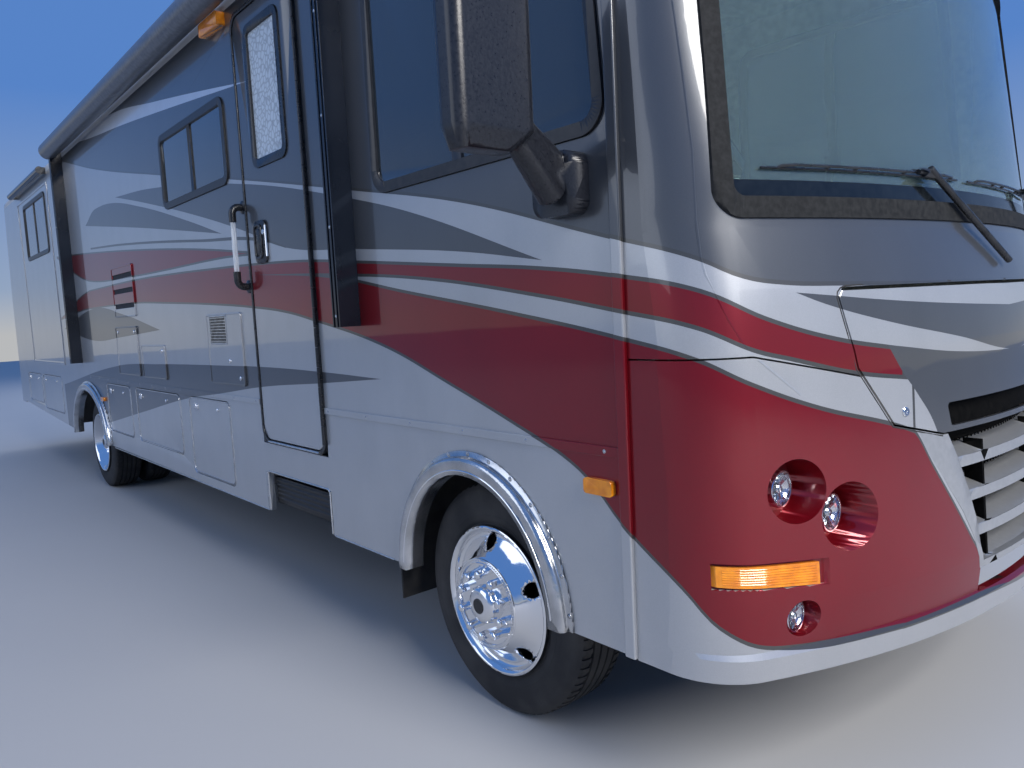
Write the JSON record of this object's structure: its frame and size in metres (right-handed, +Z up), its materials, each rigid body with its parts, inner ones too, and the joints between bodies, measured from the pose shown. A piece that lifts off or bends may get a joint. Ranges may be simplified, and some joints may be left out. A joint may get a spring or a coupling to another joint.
{
  "type": "motorhome",
  "caption": "Flat-fronted motorhome with slide-out rooms, hinged storage doors, a lifting hood, an entrance door with a sliding step, steering wheels and twin rear wheels.",
  "frame": {"origin": "on the ground, under the middle of the overall length and width", "axes": "+X forwards, +Y to the vehicle's left, +Z up"},
  "size_m": [11.1898, 3.49, 3.6593],
  "materials": {
    "paint": "gloss silver with darker and red bands",
    "red_paint": "gloss deep red with silver valance",
    "roof_skin": "satin off-white",
    "chassis_black": "satin black with road dust",
    "cast_steel": "rough",
    "tank": "satin",
    "deck": "matt",
    "bay_sheet": "satin grey",
    "window": "tinted, in black frames",
    "windshield_glass": "clear with a slight green tint",
    "bright_flare": "satin",
    "louvre_silver": "satin silver",
    "black_plastic": "satin, grained",
    "lens": "clear and amber lenses",
    "awning_metal": "anodised",
    "interior": "grained",
    "upholstery": "matt",
    "bright_wheel": "polished",
    "tyre": "matt",
    "rubber": "weathered, matt",
    "step_metal": "satin black",
    "ladder_metal": "satin"
  },
  "bodies": {
    "body": {"chassis_frame": "chassis_black", "cross_members": "chassis_black", "leaf_springs": "chassis_black", "hitch_receiver": "chassis_black", "front_axle": "cast_steel", "rear_axle": "cast_steel", "engine_block": "cast_steel", "fuel_and_exhaust": "tank", "floor_deck": "deck", "entry_well": "deck", "storage_bays_right": "bay_sheet", "storage_bays_left": "bay_sheet", "arch_liners": "black_plastic", "windshield_seal": "rubber", "belt_rails": "paint", "service_hatches": "paint", "side_walls": "paint", "skirts": "paint", "arch_flares": "bright_flare", "roof": "roof_skin", "rear_cap": "paint", "front_cap": "paint", "front_mask": "red_paint", "grille": "louvre_silver", "windshield": "windshield_glass", "window_units": "window", "door_frame": "black_plastic", "awning": "awning_metal", "mirrors": "black_plastic", "wipers": "black_plastic", "lamps": "lens", "roof_units": "roof_skin", "ladder": "ladder_metal", "dashboard": "interior", "cab_seats": "upholstery"},
    "steer_right": {"knuckle_right": "cast_steel"},
    "steer_left": {"knuckle_left": "cast_steel"},
    "tie_rod": {"tie_rod": "cast_steel"},
    "front_wheel_right": {"wheel_front_right": "bright_wheel", "tyre_front_right": "tyre"},
    "rear_wheels_right": {"wheel_rear_right": "bright_wheel", "tyres_rear_right": "tyre"},
    "front_wheel_left": {"wheel_front_left": "bright_wheel", "tyre_front_left": "tyre"},
    "rear_wheels_left": {"wheel_rear_left": "bright_wheel", "tyres_rear_left": "tyre"},
    "hood": {"hood": "paint"},
    "entry_door": {"entry_door": "paint"},
    "storage_door_right_1": {"storage_door_right_1": "paint"},
    "storage_door_right_2": {"storage_door_right_2": "paint"},
    "storage_door_right_3": {"storage_door_right_3": "paint"},
    "storage_door_right_4": {"storage_door_right_4": "paint"},
    "storage_door_right_5": {"storage_door_right_5": "paint"},
    "storage_door_left_1": {"storage_door_left_1": "paint"},
    "storage_door_left_2": {"storage_door_left_2": "paint"},
    "slide_out_right": {"slide_out_right": "paint"},
    "slide_out_left": {"slide_out_left": "paint"},
    "entry_step": {"entry_step": "step_metal"}
  },
  "joints": [
    {"name": "steering", "type": "hinge", "parent": "body", "child": "steer_right", "pos_m": [4.285, -0.905, 0.423], "axis": [0, 0, 1], "range_deg": [-35, 35]},
    {"name": "steering_left", "type": "hinge", "parent": "body", "child": "steer_left", "pos_m": [4.285, 0.905, 0.423], "axis": [0, 0, 1], "range_deg": [-35, 35]},
    {"name": "tie_rod_ball", "type": "hinge", "parent": "steer_right", "child": "tie_rod", "pos_m": [4.095, -0.905, 0.35], "axis": [0, 0, 1], "range_deg": [-35, 35]},
    {"name": "front_wheel_spin_right", "type": "hinge", "parent": "steer_right", "child": "front_wheel_right", "pos_m": [4.285, -1.112, 0.423], "axis": [0, 1, 0], "continuous": true},
    {"name": "rear_wheels_spin_right", "type": "hinge", "parent": "body", "child": "rear_wheels_right", "pos_m": [-1.506, -0.97, 0.423], "axis": [0, 1, 0], "continuous": true},
    {"name": "front_wheel_spin_left", "type": "hinge", "parent": "steer_left", "child": "front_wheel_left", "pos_m": [4.285, 1.112, 0.423], "axis": [0, 1, 0], "continuous": true},
    {"name": "rear_wheels_spin_left", "type": "hinge", "parent": "body", "child": "rear_wheels_left", "pos_m": [-1.506, 0.97, 0.423], "axis": [0, 1, 0], "continuous": true},
    {"name": "hood_hinge", "type": "hinge", "parent": "body", "child": "hood", "pos_m": [5.485, 0, 1.52], "axis": [0, -1, 0], "range_deg": [0, 60]},
    {"name": "entry_door_hinge", "type": "hinge", "parent": "body", "child": "entry_door", "pos_m": [3.1575, -1.301, 1.9], "axis": [0, 0, 1], "range_deg": [0, 95]},
    {"name": "storage_door_right_1_hinge", "type": "hinge", "parent": "body", "child": "storage_door_right_1", "pos_m": [1.641, -1.296, 1.013], "axis": [-1, 0, 0], "range_deg": [0, 90]},
    {"name": "storage_door_right_2_hinge", "type": "hinge", "parent": "body", "child": "storage_door_right_2", "pos_m": [0.577, -1.296, 1.013], "axis": [-1, 0, 0], "range_deg": [0, 90]},
    {"name": "storage_door_right_3_hinge", "type": "hinge", "parent": "body", "child": "storage_door_right_3", "pos_m": [-0.4705, -1.296, 1.013], "axis": [-1, 0, 0], "range_deg": [0, 90]},
    {"name": "storage_door_right_4_hinge", "type": "hinge", "parent": "body", "child": "storage_door_right_4", "pos_m": [-3.2555, -1.296, 1.001], "axis": [-1, 0, 0], "range_deg": [0, 90]},
    {"name": "storage_door_right_5_hinge", "type": "hinge", "parent": "body", "child": "storage_door_right_5", "pos_m": [-4.301, -1.296, 0.997], "axis": [-1, 0, 0], "range_deg": [0, 90]},
    {"name": "storage_door_left_1_hinge", "type": "hinge", "parent": "body", "child": "storage_door_left_1", "pos_m": [1.985, 1.296, 1.013], "axis": [1, 0, 0], "range_deg": [0, 90]},
    {"name": "storage_door_left_2_hinge", "type": "hinge", "parent": "body", "child": "storage_door_left_2", "pos_m": [-3.465, 1.296, 1.001], "axis": [1, 0, 0], "range_deg": [0, 90]},
    {"name": "slide_out_right_travel", "type": "slide", "parent": "body", "child": "slide_out_right", "axis": [0, -1, 0], "range_m": [0, 0.52]},
    {"name": "slide_out_left_travel", "type": "slide", "parent": "body", "child": "slide_out_left", "axis": [0, 1, 0], "range_m": [0, 0.52]},
    {"name": "entry_step_travel", "type": "slide", "parent": "body", "child": "entry_step", "axis": [0, -1, 0], "range_m": [0, 0.28]}
  ],
  "couplings": [
    {"joint": "steering_left", "follows": "steering", "ratio": 1},
    {"joint": "tie_rod_ball", "follows": "steering", "ratio": -1}
  ]
}
